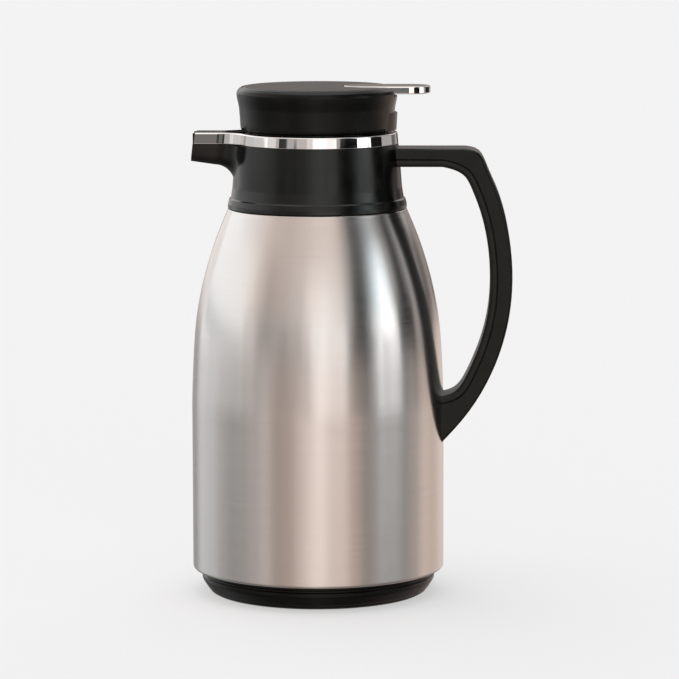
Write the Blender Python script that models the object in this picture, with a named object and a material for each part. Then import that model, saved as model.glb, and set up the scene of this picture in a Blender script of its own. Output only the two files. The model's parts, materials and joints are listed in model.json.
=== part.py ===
"""Vacuum-insulated serving carafe with a screw-in stopper, a thumb lever that opens the pouring
valve, an open spout and a loop handle.

Frame: +Z up, origin on the body axis at the underside of the foot, handle towards +X, spout
towards -X. Sizes below are in millimetres; every mesh is scaled to metres as it is made.
"""

import math

import bmesh
import bpy
from mathutils import Vector

MM = 0.001
GAP = 0.3
SEAM = 0.1
FINE = 32
PLAIN = 24
UP = Vector((0, 0, 1))

# Driving dimensions
BODY_R = 71.7
STEEL = 0.8
RIM_Z = 14.4
SHOULDER_START_Z = 112.0
SHOULDER_TOP = (51.0, 219.3)
NECK_R = 44.5
NECK_TOP_Z = 237.5
LINER_GAP = 5.4
LINER_NECK_R = 42.0
FLOOR_WELD_Z = 37.0
TAPER_POINTS = 4

COLLAR_BOTTOM_Z = 220.7
COLLAR_TOP_Z = 263.2
COLLAR_BORE_R = 40.5
SEAT_Z = 243.2
SEAT_R = 37.4
BAND_BOTTOM_Z = 257.3
BAND_TOP_Z = 263.6
BAND_R = 46.0
BAND_TOP_R = 45.2
BAND_INNER_R = 44.5
BAND_THICK = 0.9

SPOUT_HALF_WIDTH = 9.0
SPOUT_CORNER = 5.0
SPOUT_ROOT_R = 16.5
CHANNEL_CORNER = 4.5
SPOUT_TIP_X = -71.3
SPOUT_TIP_BOTTOM_Z = 247.2
SPOUT_TIP_SLOPE = 2.0 / 16.3
SPOUT_LIP_INSET = 1.2
SPOUT_WALL = 1.5
SPOUT_WINDOW_TOP_Z = 259.8

HANDLE_HALF_WIDTH = 12.5
ARM_TOP_Z = 254.9
ARM_BOTTOM_Z = 244.4
LINER_BAND = 4.5

LID_BOTTOM_Z = 264.5
LID_TOP_Z = 289.6
COVER_UNDER_Z = 287.2
LID_RIM_R = 45.7
LID_SCREW_R = 27.0
LID_SCREW_ANGLES = [math.radians(60 + 120 * i) for i in range(3)]

LEVER_HALF_WIDTH = 12.0
LEVER_END_X = 64.0
LEVER_START_X = 15.0
LEVER_TOP_Z = 289.8
LEVER_THICK = 4.3
PIVOT_X = 36.5
PIVOT_Z = 282.5
PIN_R = 1.2
PIN_PLAY = 0.12

STOPPER_R = 38.6
STOPPER_BOTTOM_Z = 222.0
CUP_R = 37.0
CHAMBER_R = 33.2
SEAL_GROOVE_R = 35.0
GROOVE_TOP_Z = 246.5
SEAL_R = 38.7
DECK_TOP_Z = 266.5
THREAD_LEAD = 36.0
THREAD_CREST = 1.5
THREAD_THICK = 2.2
THREAD_ARC = math.radians(48)
THREAD_Z = 255.2
THREAD_STARTS = 4

STEM_R = 2.45
FLANGE_Z = 276.5
FLANGE_THICK = 1.5


def material(name, colour, roughness, metallic=0.0):
    made = bpy.data.materials.new(name)
    made.use_nodes = True
    shader = made.node_tree.nodes["Principled BSDF"]
    shader.inputs["Base Color"].default_value = (*colour, 1.0)
    shader.inputs["Roughness"].default_value = roughness
    shader.inputs["Metallic"].default_value = metallic
    return made


def add_object(name, mesh_data, look):
    mesh = bpy.data.meshes.new(name)
    bmesh.ops.recalc_face_normals(mesh_data, faces=mesh_data.faces)
    bmesh.ops.scale(mesh_data, vec=(MM, MM, MM), verts=mesh_data.verts)
    mesh_data.to_mesh(mesh)
    mesh_data.free()
    mesh.shade_smooth()
    mesh.set_sharp_from_angle(angle=math.radians(35))
    made = bpy.data.objects.new(name, mesh)
    bpy.context.scene.collection.objects.link(made)
    if look:
        mesh.materials.append(look)
    return made


def spin_into(mesh_data, profile, steps):
    """Turn a profile of (radius, height) about the Z axis. A profile that starts and ends on the
    axis is open; any other is closed."""
    points = [mesh_data.verts.new((r, 0, z)) for r, z in profile]
    pairs = list(zip(points, points[1:]))
    if profile[0][0] > 0:
        pairs.append((points[-1], points[0]))
    edges = [mesh_data.edges.new(pair) for pair in pairs]
    bmesh.ops.spin(
        mesh_data, geom=points + edges, cent=(0, 0, 0), axis=(0, 0, 1),
        angle=2 * math.pi, steps=steps, use_merge=True,
    )
    bmesh.ops.remove_doubles(mesh_data, verts=mesh_data.verts, dist=0.001)


def turned(name, profile, look, steps=PLAIN):
    mesh_data = bmesh.new()
    spin_into(mesh_data, profile, steps)
    return add_object(name, mesh_data, look)


def loft_into(mesh_data, sections):
    """Skin a row of closed sections, each with the same number of points, and cap both ends."""
    rings = [[mesh_data.verts.new(p) for p in section] for section in sections]
    for low, high in zip(rings, rings[1:]):
        for i in range(len(low)):
            j = (i + 1) % len(low)
            mesh_data.faces.new((low[i], low[j], high[j], high[i]))
    mesh_data.faces.new(rings[0][::-1])
    mesh_data.faces.new(rings[-1])


def lofted(name, sections, look=None):
    mesh_data = bmesh.new()
    loft_into(mesh_data, sections)
    return add_object(name, mesh_data, look)


def rod_section(centre, radius, axis, steps):
    """A circle of points round centre, square to axis 'X', 'Y' or 'Z'."""
    points = []
    for i in range(steps):
        a = 2 * math.pi * i / steps
        u, v = radius * math.cos(a), radius * math.sin(a)
        offset = {"X": (0, u, v), "Y": (v, 0, u), "Z": (u, v, 0)}[axis]
        points.append(Vector(centre) + Vector(offset))
    return points


def rod_into(mesh_data, start, axis, stations, steps=16):
    """A stepped rod: stations are (distance along the axis from start, radius)."""
    along = {"X": Vector((1, 0, 0)), "Y": Vector((0, 1, 0)), "Z": Vector((0, 0, 1))}[axis]
    sections = [rod_section(Vector(start) + along * d, r, axis, steps) for d, r in stations]
    loft_into(mesh_data, sections)


def rod(name, start, axis, stations, look=None, steps=16):
    mesh_data = bmesh.new()
    rod_into(mesh_data, start, axis, stations, steps)
    return add_object(name, mesh_data, look)


def block(name, low, high, look=None):
    corners = [(low[0], low[1]), (high[0], low[1]), (high[0], high[1]), (low[0], high[1])]
    return lofted(name, [[(x, y, z) for x, y in corners] for z in (low[2], high[2])], look)


def boolean(target, other, operation):
    """Join or cut with another object, which then only guides the shape."""
    step = target.modifiers.new(other.name, "BOOLEAN")
    step.operation = operation
    step.object = other
    other.hide_render = True
    other.display_type = "WIRE"
    return target


def join(target, *others):
    for other in others:
        boolean(target, other, "UNION")
    return target


def cut(target, *others):
    for other in others:
        boolean(target, other, "DIFFERENCE")
    return target


def smooth(points, per_span):
    """Catmull-Rom curve through the points, with both end points kept."""
    ends = [2 * Vector(points[0]) - Vector(points[1]), 2 * Vector(points[-1]) - Vector(points[-2])]
    row = [ends[0], *[Vector(p) for p in points], ends[1]]
    curve = []
    for a, b, c, d in zip(row, row[1:], row[2:], row[3:]):
        for i in range(per_span):
            t = i / per_span
            curve.append(tuple(
                0.5 * (2 * b + (c - a) * t + (2 * a - 5 * b + 4 * c - d) * t * t
                       + (3 * b - 3 * c + d - a) * t * t * t)
            ))
    return curve + [tuple(points[-1])]


def arc(centre, radius, start_deg, end_deg, steps):
    angles = [math.radians(start_deg + (end_deg - start_deg) * i / steps) for i in range(steps + 1)]
    return [(centre[0] + radius * math.cos(a), centre[1] + radius * math.sin(a)) for a in angles]


def beside(path, distance):
    """The path moved sideways by distance, to the left of its direction of travel."""
    moved = []
    for i, point in enumerate(path):
        before = Vector(path[max(i - 1, 0)])
        after = Vector(path[min(i + 1, len(path) - 1)])
        along = (after - before).normalized()
        moved.append((point[0] - along.y * distance, point[1] + along.x * distance))
    return moved


def sheet_profile(path, thickness):
    """Closed profile of a sheet whose outer face is the path, thickened to its left."""
    inner = [(max(r, 0.0), z) for r, z in beside(path, thickness)]
    return path + inner[::-1]


def plan_section(outline, z):
    return [(x, y, z) for x, y in outline]


# Body

def shoulder(offset=0.0):
    """The rounded shoulder from the straight wall up to the collar, moved inwards by offset."""
    through = [(BODY_R, SHOULDER_START_Z), (71.0, 130.0), (69.4, 155.0), (66.3, 173.0),
               (61.9, 190.0), (56.2, 206.8), SHOULDER_TOP]
    return beside(smooth(through, 1), offset)


def outer_shell_path():
    edge = arc((BODY_R - 1.5, RIM_Z + 1.5), 1.5, -90, 0, 2)
    return [(67.4, RIM_Z), *edge, *shoulder(), (50.7, 220.0), (NECK_R + GAP, 220.3)]


def dish_profile(path):
    """Closed profile of a sheet dish whose underside is the path, out from the axis."""
    inside = beside(path, STEEL)
    inside[0] = (0.0, path[0][1] + STEEL)
    return path + inside[::-1]


def build_body(steel, bright, dark_rubber):
    turned("outer_shell", sheet_profile(outer_shell_path(), STEEL), steel, FINE)
    neck_in = NECK_R - STEEL
    ring = [(NECK_R, 220.8), (NECK_R, NECK_TOP_Z), (neck_in, NECK_TOP_Z), (neck_in, 220.8)]
    turned("neck_ring", ring, bright, FINE)

    wall_out, wall_in = BODY_R - LINER_GAP, BODY_R - LINER_GAP - STEEL
    corner = arc((wall_out - 4, 36.0), 4, -90, 0, 3)
    dish = [(0.0, 32.0), (30.0, 32.0), *corner, (wall_out, FLOOR_WELD_Z)]
    turned("inner_floor", dish_profile(dish), bright)
    low, high = FLOOR_WELD_Z + SEAM, SHOULDER_START_Z - 2 * GAP
    turned("inner_wall", [(wall_in, low), (wall_out, low), (wall_out, high), (wall_in, high)], bright)
    line = shoulder(LINER_GAP)
    turned("inner_taper", sheet_profile(line[:TAPER_POINTS], STEEL), bright)
    dome = [*line[TAPER_POINTS - 1:], (42.9, 221.0)]
    dome[0] = tuple(Vector(dome[0]).lerp(Vector(dome[1]), 0.03))
    turned("inner_shoulder", sheet_profile(dome, STEEL), bright)
    neck = [(42.8, 221.4), (LINER_NECK_R, 225.5), (LINER_NECK_R, 237.9), (NECK_R, 237.9)]
    turned("inner_neck", sheet_profile(neck, STEEL), bright)

    plate = [(0.0, 24.8), (20.0, 24.8), (24.0, 24.0), (66.0, 24.0), (70.0, 25.2), (70.3, 31.0)]
    turned("bottom_plate", dish_profile(plate), bright)

    rod("evacuation_seal", (0, 0, 21.9), "Z", [(0, 4.0), (1.0, 6.0), (2.4, 6.0)], bright)
    rod("getter_capsule", (0, 0, 27.2), "Z", [(0, 8.0), (0.8, 9.5), (3.2, 9.5)], bright)
    turned("neck_lock_ring", [(45.0, 224.8), (46.3, 225.2), (46.3, 227.8), (45.0, 228.2)], bright, FINE)
    turned("lip_gasket", [(41.6, 239.0), (44.6, 239.0), (44.6, 240.6), (41.6, 240.6)], dark_rubber)


def build_base(plastic, dark_rubber):
    outer = [(66.3, 15.5), (66.5, 14.2), (66.5, 12.6), (65.8, 12.0), (65.8, 11.2), (66.5, 10.4),
             (66.5, 8.6), (65.9, 7.4), (63.3, 3.4), (62.6, 2.8)]
    foot = [(62.0, 1.7), (60.2, 0.7), (57.4, GAP), (55.4, GAP), (55.4, 2.8), (0.0, 2.8)]
    inner = [(0.0, 5.2), (60.0, 5.2), (63.3, 9.0), (63.3, 20.0)]
    snap = [(66.3, 20.0), (68.4, 17.0), (68.4, 16.0)]
    rising = [*inner, *snap, *outer, *foot]
    turned("base_cap", rising, plastic, FINE)
    turned("foot_pad", [(0.0, 0.0), (54.4, 0.0), (55.0, 0.6), (55.0, 2.5), (0.0, 2.5)], dark_rubber, FINE)


# Collar and spout

def tip_x(z):
    """The spout's end leans back as it rises."""
    return SPOUT_TIP_X + (z - SPOUT_TIP_BOTTOM_Z) * SPOUT_TIP_SLOPE


def trough_section(half_width, bottom_z, top_z, corner, x=None):
    """A U-shaped section square to X; with no x it lies on the leaning end of the spout."""
    right = [(half_width, top_z), (half_width, bottom_z + corner)]
    right += arc((half_width - corner, bottom_z + corner), corner, 0, -90, 3)[1:]
    left = [(-y, z) for y, z in right[::-1]]
    return [(tip_x(z) if x is None else x, y, z) for y, z in right + left]


def root_centre(outer_r, half_width, fillet):
    """Plan centre (x, y) of the fillet between the spout's side and the collar."""
    y = half_width + fillet
    return -math.sqrt((outer_r + fillet) ** 2 - y ** 2), y


def flared_half_width(x):
    """Half the spout's width at x: even along the spout, and wider where its root meets the collar."""
    centre_x, centre_y = root_centre(BAND_R, SPOUT_HALF_WIDTH, SPOUT_ROOT_R)
    if x < centre_x:
        return SPOUT_HALF_WIDTH
    return centre_y - math.sqrt(SPOUT_ROOT_R ** 2 - (x - centre_x) ** 2)


def spout_body():
    """The trough's outside, from inside the collar wall to the tip, with a swept-up root."""
    underside = [(-41.8, 243.6), (-44.5, 243.4), (-45.8, 236.2), (-46.9, 236.6), (-47.4, 239.6),
                 (-48.6, 241.6), (-51.3, 243.6), (-54.0, 244.5), (-57.0, 245.1), (-62.5, 246.0)]
    top_z = BAND_BOTTOM_Z - GAP - SEAM
    sections = [trough_section(flared_half_width(x), z, top_z, SPOUT_CORNER, x) for x, z in underside]
    sections.append(trough_section(SPOUT_HALF_WIDTH, SPOUT_TIP_BOTTOM_Z, top_z, SPOUT_CORNER))
    return lofted("spout_outside", sections)


def spout_lip():
    """The trough's upper walls, set in behind the bright band."""
    half_width = SPOUT_HALF_WIDTH - SPOUT_LIP_INSET
    return lofted("spout_upper", [
        trough_section(half_width, 251.0, COLLAR_TOP_Z, 3.0, -42.0),
        trough_section(half_width, 251.0, COLLAR_TOP_Z, 3.0),
    ])


def spout_channel():
    """Cutters for the trough's inside and for the window through the collar's wall."""
    half_width = SPOUT_HALF_WIDTH - SPOUT_LIP_INSET - SPOUT_WALL
    over = COLLAR_TOP_Z + 5
    trough = lofted("spout_channel", [
        trough_section(half_width, 249.9, over, CHANNEL_CORNER, -76.0),
        trough_section(half_width, 247.9, over, CHANNEL_CORNER, -45.2),
    ])
    window = lofted("spout_window", [
        trough_section(half_width, 248.0, SPOUT_WINDOW_TOP_Z, CHANNEL_CORNER, -47.0),
        trough_section(half_width, 247.4, SPOUT_WINDOW_TOP_Z, CHANNEL_CORNER, -37.0),
    ])
    return trough, window


def thread_ridges(name, root_r, crest_r, middle_z):
    """Short right-hand ridges, one for each start, that rise along the thread's helix."""
    mesh_data = bmesh.new()
    steps = 6
    for start in range(THREAD_STARTS):
        middle = math.radians(45 + 360 * start / THREAD_STARTS)
        sections = []
        for i in range(steps + 1):
            turn = THREAD_ARC * (i / steps - 0.5)
            a, z = middle + turn, middle_z + THREAD_LEAD * turn / (2 * math.pi)
            half = THREAD_THICK / 2
            corners = [(root_r, z - half), (crest_r, z - half + 0.4), (crest_r, z + half - 0.4),
                       (root_r, z + half)]
            sections.append([(r * math.cos(a), r * math.sin(a), h) for r, h in corners])
        loft_into(mesh_data, sections)
    return add_object(name, mesh_data, None)


def build_collar(plastic, chrome):
    outer = [(44.2, COLLAR_TOP_Z), (44.2, 257.0), (BAND_R, 257.0), (46.6, 250.0), (47.3, 242.6),
             (47.8, 236.0), (48.4, 230.5), (49.0, 226.6), (49.9, 226.0), (50.7, 223.0),
             (50.8, COLLAR_BOTTOM_Z + 0.3), (50.5, COLLAR_BOTTOM_Z)]
    inner = [(46.8, COLLAR_BOTTOM_Z), (46.8, 229.5), (45.0, 231.0), (45.0, 240.9), (SEAT_R, 240.9),
             (SEAT_R, SEAT_Z), (COLLAR_BORE_R, SEAT_Z), (COLLAR_BORE_R, COLLAR_TOP_Z)]
    collar = turned("collar", outer + inner, plastic, FINE)
    tongue = block("handle_tongue", (45.0, -7, 250.9), (62.0, 7, 253.2))
    ridges = thread_ridges("collar_thread", COLLAR_BORE_R + 1.0, COLLAR_BORE_R - THREAD_CREST,
                           THREAD_Z + THREAD_THICK + GAP)
    screw_hole = rod("tongue_hole", (56, 0, 240), "Z", [(0, 1.8), (30, 1.8)])
    join(collar, spout_body(), spout_lip(), tongue, ridges)
    cut(collar, *spout_channel(), screw_hole)

    levels = [(BAND_BOTTOM_Z, BAND_R), (262.6, BAND_TOP_R + 0.15), (BAND_TOP_Z, BAND_TOP_R - 0.3)]
    lofted("chrome_band", [band_section(z, r) for z, r in levels], chrome)


def band_section(z, outer_r):
    """Plan of the bright band: a ring left open at the spout, with a leg along each of its sides."""

    def edge(radius, half_width, fillet):
        centre_x, centre_y = root_centre(radius, half_width, fillet)
        turn = math.degrees(math.atan2(centre_y, -centre_x))
        bend = arc((centre_x, centre_y), fillet, -90, -turn, 6)
        ring = arc((0, 0), radius, 180 - turn, turn - 180, 36)
        back = [(x, -y) for x, y in bend[::-1]]
        return [(tip_x(z), half_width), *bend, *ring[1:-1], *back, (tip_x(z), -half_width)]

    outside = edge(outer_r, SPOUT_HALF_WIDTH, SPOUT_ROOT_R)
    inside = edge(BAND_INNER_R, SPOUT_HALF_WIDTH - BAND_THICK, SPOUT_ROOT_R + BAND_THICK)
    return plan_section(outside + inside[::-1], z)


# Handle

def handle_outer():
    """The outside of the loop, from the collar round to the foot."""
    through = [(84.0, ARM_TOP_Z), (90.8, 253.0), (96.1, 244.1), (102.0, 230.4), (107.8, 209.8),
               (110.5, 187.0), (109.3, 162.5), (104.6, 141.9), (96.1, 121.3), (82.6, 100.6), (71.0, 87.6)]
    return [(44.0, ARM_TOP_Z), *smooth(through, 2)]


def handle_inner():
    """The finger side of the loop, from the collar round to the foot."""
    through = [(71.0, ARM_BOTTOM_Z), (77.5, 242.7), (83.4, 239.2), (87.2, 232.7), (92.4, 219.0),
               (96.4, 201.0), (97.9, 182.0), (96.9, 164.0), (93.1, 147.0), (84.7, 126.3), (77.3, 116.4)]
    return [(44.0, ARM_BOTTOM_Z), *smooth(through, 2), (70.6, 114.4)]


def side_outline(name, path, back, half_width, bevel):
    """Extrude a side outline across Y and round its long edges."""
    outline = path + back[::-1]
    made = lofted(name, [[(x, y, z) for x, z in outline] for y in (-half_width, half_width)])
    round_off = made.modifiers.new("rounded edges", "BEVEL")
    round_off.width = bevel * MM
    round_off.segments = 2
    round_off.limit_method = "ANGLE"
    round_off.angle_limit = math.radians(60)
    return made


def build_handle(plastic, liner_plastic, steel):
    near_collar = [(0.0, 260.0), (46.2, 260.0), (47.9, 238.0), (0.0, 238.0)]
    around_collar = turned("collar_clearance", near_collar, None, FINE)
    near_body = [(0.0, 130.0), (BODY_R + GAP, 130.0), (BODY_R + GAP, 70.0), (0.0, 70.0)]
    around_body = turned("body_clearance", near_body, None, FINE)

    middle = beside(handle_inner(), LINER_BAND)
    frame = side_outline("handle_frame", handle_outer(), middle, HANDLE_HALF_WIDTH, 2.2)
    socket = block("arm_socket", (40.0, -7.4, 250.6), (62.5, 7.4, 253.5))
    top_hole = rod("frame_top_hole", (56, 0, 246), "Z", [(0, 1.8), (6, 1.8)])
    lug_pocket = rod("lug_pocket", (68, 0, 104), "X", [(0, 5.4), (10.4, 5.4)])
    foot_hole = rod("foot_hole", (68, 0, 104), "X", [(0, 1.8), (30, 1.8)])
    head_recess = rod("head_recess", (81, 0, 104), "X", [(0, 3.8), (20, 3.8)])
    cut(frame, around_collar, around_body, socket, top_hole, lug_pocket, foot_hole, head_recess)
    frame.data.materials.append(plastic)

    inner = handle_inner()
    band = side_outline("handle_liner", beside(inner, LINER_BAND - GAP), inner, HANDLE_HALF_WIDTH - 0.4, 1.4)
    head_pocket = rod("head_pocket", (56, 0, 246.3), "Z", [(0, 3.6), (6, 3.6)])
    cut(band, around_collar, around_body, head_pocket)
    band.data.materials.append(liner_plastic)

    rod("handle_top_screw", (56, 0, 246.7), "Z", [(0, 3.0), (2.1, 3.0), (2.1, 1.5), (6.2, 1.5)], steel)
    rod("handle_lower_screw", (83.2, 0, 104), "X", [(0, 3.2), (-1.9, 3.2), (-1.9, 1.5), (-9.0, 1.5)], steel)
    lug = rod("handle_lug", (BODY_R + GAP, 0, 104), "X", [(0, 5.0), (6.0, 5.0)], steel)
    cut(lug, rod("lug_thread", (BODY_R + 1.5, 0, 104), "X", [(0, 1.8), (20, 1.8)]))


# Stopper and pouring valve

def cup_profile():
    """The stopper's lower half: a floor with the valve seat, and a wall with a step for the seal."""
    outside = [(36.0, STOPPER_BOTTOM_Z), (CUP_R, STOPPER_BOTTOM_Z + 1.0), (CUP_R, SEAT_Z),
               (SEAL_GROOVE_R, SEAT_Z), (SEAL_GROOVE_R, GROOVE_TOP_Z - GAP)]
    inside = [(CHAMBER_R, GROOVE_TOP_Z - GAP), (CHAMBER_R, 226.5), (31.2, 224.4), (11.3, 224.4)]
    seat = [(11.3, 227.3), (10.9, 227.6), (9.7, 227.6), (9.3, 227.3), (9.3, STOPPER_BOTTOM_Z)]
    return outside + inside + seat


def stopper_profile():
    """The stopper's upper half: the threaded wall, the deck and the boss that guides the stem."""
    outside = [(STOPPER_R, GROOVE_TOP_Z), (STOPPER_R, 260.9), (37.0, 260.9), (37.0, 263.0),
               (STOPPER_R, 263.0), (STOPPER_R, 264.3), (40.8, 264.3), (40.8, DECK_TOP_Z)]
    bush_seat = [(6.3, DECK_TOP_Z), (6.3, 256.7), (3.6, 256.7), (3.6, 255.5), (9.0, 255.5)]
    return outside + bush_seat + [(9.0, 262.0), (CHAMBER_R, 262.0), (CHAMBER_R, GROOVE_TOP_Z)]


def build_stopper(plastic, white_plastic, soft_rubber, steel, brass):
    body = turned("stopper_body", stopper_profile(), plastic, FINE)
    join(body, thread_ridges("stopper_thread", STOPPER_R - 1.0, STOPPER_R + THREAD_CREST, THREAD_Z))
    half = 8.0
    along_x = block("windows_x", (-45, -half, 248.5), (45, half, 259.0))
    along_y = block("windows_y", (-half, -45, 248.5), (half, 45, 259.0))
    keep = turned("boss_guard", [(0, 240), (10.5, 240), (10.5, 262.4), (0, 262.4)], None)
    cut(along_x, keep)
    cut(along_y, keep)
    cut(body, along_x, along_y)
    for angle in LID_SCREW_ANGLES:
        x, y = LID_SCREW_R * math.cos(angle), LID_SCREW_R * math.sin(angle)
        cut(body, rod("deck_hole", (x, y, 263.2), "Z", [(0, 1.8), (8, 1.8)], steps=12))

    turned("stopper_cup", cup_profile(), plastic, FINE)
    ring = [(35.3, 243.6), (SEAL_R - 0.2, 243.6), (SEAL_R, 244.4), (SEAL_R - 0.2, 246.1), (35.3, 246.1)]
    turned("stopper_seal", ring, soft_rubber, FINE)
    upper_ring = [(37.3, 261.3), (39.8, 261.3), (40.2, 262.0), (39.8, 262.7), (37.3, 262.7)]
    turned("upper_seal", upper_ring, soft_rubber, FINE)
    bush = [(2.55, 260.3), (6.0, 260.3), (6.0, 266.8), (8.0, 266.8), (8.0, 268.2), (2.55, 268.2)]
    turned("stem_bush", bush, brass)
    wiper = [(2.7, 257.4), (3.4, 257.0), (6.0, 257.0), (6.0, 260.0), (3.4, 260.0), (2.7, 259.4)]
    turned("stem_wiper", wiper, soft_rubber)
    build_valve(white_plastic, soft_rubber, steel)
    build_spring(steel)


def build_valve(white_plastic, soft_rubber, steel):
    """The stem with its flange, and below it the disc, its seal and the nut that holds them."""
    flange_top = FLANGE_Z + FLANGE_THICK
    flange = [(6.2, FLANGE_Z), (6.2, flange_top), (2.0, flange_top), (2.0, 281.2), (1.6, 281.6), (0, 281.6)]
    stop = [(STEM_R, 233.3), (4.8, 233.3), (4.8, 234.6), (STEM_R, 234.6), (STEM_R, FLANGE_Z)]
    turned("valve_stem", [(0, 225.0), (STEM_R, 225.0), *stop, *flange], steel, 20)
    disc = [(2.7, 230.4), (13.0, 230.4), (13.0, 232.0), (11.5, 233.0), (2.7, 233.0)]
    turned("valve_disc", disc, white_plastic)
    washer = [(2.7, 227.9), (11.8, 227.9), (12.4, 228.5), (12.4, 230.1), (2.7, 230.1)]
    turned("valve_seal", washer, soft_rubber)
    nut = rod("valve_nut", (0, 0, 225.6), "Z", [(0, 4.4), (2.0, 4.4)], steel, 6)
    cut(nut, rod("nut_hole", (0, 0, 220), "Z", [(0, 2.7), (12, 2.7)]))


def build_spring(steel):
    wire, coil_r, turns = 0.45, 4.4, 4
    low, high = FLANGE_Z + FLANGE_THICK + GAP + wire, COVER_UNDER_Z - GAP - wire
    steps, sides = 14 * turns, 6
    sections = []
    for i in range(steps + 1):
        a = 2 * math.pi * turns * i / steps
        centre = Vector((coil_r * math.cos(a), coil_r * math.sin(a), low + (high - low) * i / steps))
        outward = Vector((math.cos(a), math.sin(a), 0))
        ring = [2 * math.pi * k / sides for k in range(sides)]
        sections.append([centre + wire * (outward * math.cos(b) + UP * math.sin(b)) for b in ring])
    lofted("valve_spring", sections, steel)


# Lid and lever

def stadium(half_width, start_x, end_x, steps=10):
    """Plan outline with round ends, from start_x to end_x."""
    near = arc((end_x - half_width, 0), half_width, -90, 90, steps)
    far = arc((start_x + half_width, 0), half_width, 90, 270, steps)
    return near + far


def prism(name, outline, low_z, high_z, look=None):
    return lofted(name, [plan_section(outline, z) for z in (low_z, high_z)], look)


def build_lid(plastic, cover_plastic, steel):
    side = smooth([(43.3, 266.0), (43.7, 272.0), (44.2, 277.8), (45.1, 282.3), (LID_RIM_R, 285.6)], 1)
    rim = [(45.4, 286.9), (44.5, 288.0), (43.2, 288.8), (42.6, 289.0)]
    inside = [(42.6, 286.9), (39.8, 286.9), (39.8, 285.2), (43.0, 283.6), (42.2, 277.0), (41.6, 272.0),
              (41.3, 268.4), (39.0, 268.4), (39.0, 266.9), (41.1, 266.9), (41.1, LID_BOTTOM_Z)]
    shell = turned("lid_shell", [(42.6, LID_BOTTOM_Z), (43.2, 265.0), *side, *rim, *inside], plastic, FINE)
    tab = lofted("lid_tab", [
        [(42.5, -7, 264.8), (45.0, -7, 264.8), (45.0, 7, 264.8), (42.5, 7, 264.8)],
        [(42.5, -7, 274.8), (45.5, -7, 274.8), (45.5, 7, 274.8), (42.5, 7, 274.8)],
    ])
    slot_half = LEVER_HALF_WIDTH + 0.6
    lever_notch = block("lever_notch", (34.0, -slot_half, 283.8), (50.0, slot_half, 295.0))
    cut(join(shell, tab), lever_notch)

    disc = [(0, LID_TOP_Z), (36.0, 289.5), (42.3, 289.1), (42.3, COVER_UNDER_Z), (0, COVER_UNDER_Z)]
    cover = turned("lid_top_cover", disc, cover_plastic, FINE)
    cut(cover, prism("lever_slot", stadium(slot_half, LEVER_START_X - 0.6, 70.0), 280, 295))

    frame = turned("lid_frame", [(4.0, 268.7), (40.6, 268.7), (40.6, 270.5), (4.0, 270.5)], plastic)
    for side_y in (-1, 1):
        near, far = sorted((side_y * 10.2, side_y * 12.4))
        join(frame, block("pin_cheek", (33.8, near, 269.5), (39.2, far, 284.6)))
    cut(frame, rod("cheek_holes", (PIVOT_X, -20, PIVOT_Z), "Y", [(0, PIN_R + GAP), (40, PIN_R + GAP)]))
    for angle in LID_SCREW_ANGLES:
        x, y = LID_SCREW_R * math.cos(angle), LID_SCREW_R * math.sin(angle)
        cut(frame, rod("frame_hole", (x, y, 260), "Z", [(0, 1.8), (20, 1.8)], steps=12))

    for number, angle in enumerate(LID_SCREW_ANGLES, 1):
        x, y = LID_SCREW_R * math.cos(angle), LID_SCREW_R * math.sin(angle)
        shape = [(0, 1.5), (7.2, 1.5), (7.2, 3.0), (8.8, 3.0)]
        rod(f"lid_screw_{number}", (x, y, 263.6), "Z", shape, steel, 12)


def build_lever(chrome, steel):
    plate_bottom = LEVER_TOP_Z - LEVER_THICK
    outline = stadium(LEVER_HALF_WIDTH, LEVER_START_X, LEVER_END_X)
    inset = stadium(LEVER_HALF_WIDTH - 0.5, LEVER_START_X + 0.5, LEVER_END_X - 0.5)
    levels = [(inset, plate_bottom), (outline, plate_bottom + 0.5),
              (outline, LEVER_TOP_Z - 0.5), (inset, LEVER_TOP_Z)]
    lever = lofted("lever", [plan_section(shape, z) for shape, z in levels], chrome)
    hub = rod("lever_hub", (PIVOT_X, -9.8, PIVOT_Z), "Y", [(0, 2.7), (19.6, 2.7)])
    hub_web = block("hub_web", (PIVOT_X - 1.6, -9.8, PIVOT_Z), (PIVOT_X + 1.6, 9.8, plate_bottom + 1))
    drop = block("lever_drop", (15.8, -6, 272.7), (19.4, 6, plate_bottom + 1))
    fork = block("lever_fork", (-2.2, -7, 272.7), (19.0, 7, 275.5))
    ridge = block("lever_ridge", (-0.7, -6.2, 275.0), (0.7, 6.2, FLANGE_Z - 0.6))
    slot = block("fork_slot", (-9.0, -3.2, 265.0), (5.2, 3.2, 279.0))
    hole_r = PIN_R + PIN_PLAY
    pin_hole = rod("lever_pin_hole", (PIVOT_X, -20, PIVOT_Z), "Y", [(0, hole_r), (40, hole_r)], steps=20)
    cut(join(lever, hub_web, hub, drop, fork, ridge), slot, pin_hole)
    set_origin(lever, (PIVOT_X, 0, PIVOT_Z))
    rod("lever_pin", (PIVOT_X, -12.2, PIVOT_Z), "Y", [(0, PIN_R), (24.4, PIN_R)], steel, 20)


def set_origin(target, place):
    """Move an object's origin to place without moving the shape."""
    shift = Vector(place) * MM
    for vertex in target.data.vertices:
        vertex.co -= shift
    target.location = shift


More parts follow.
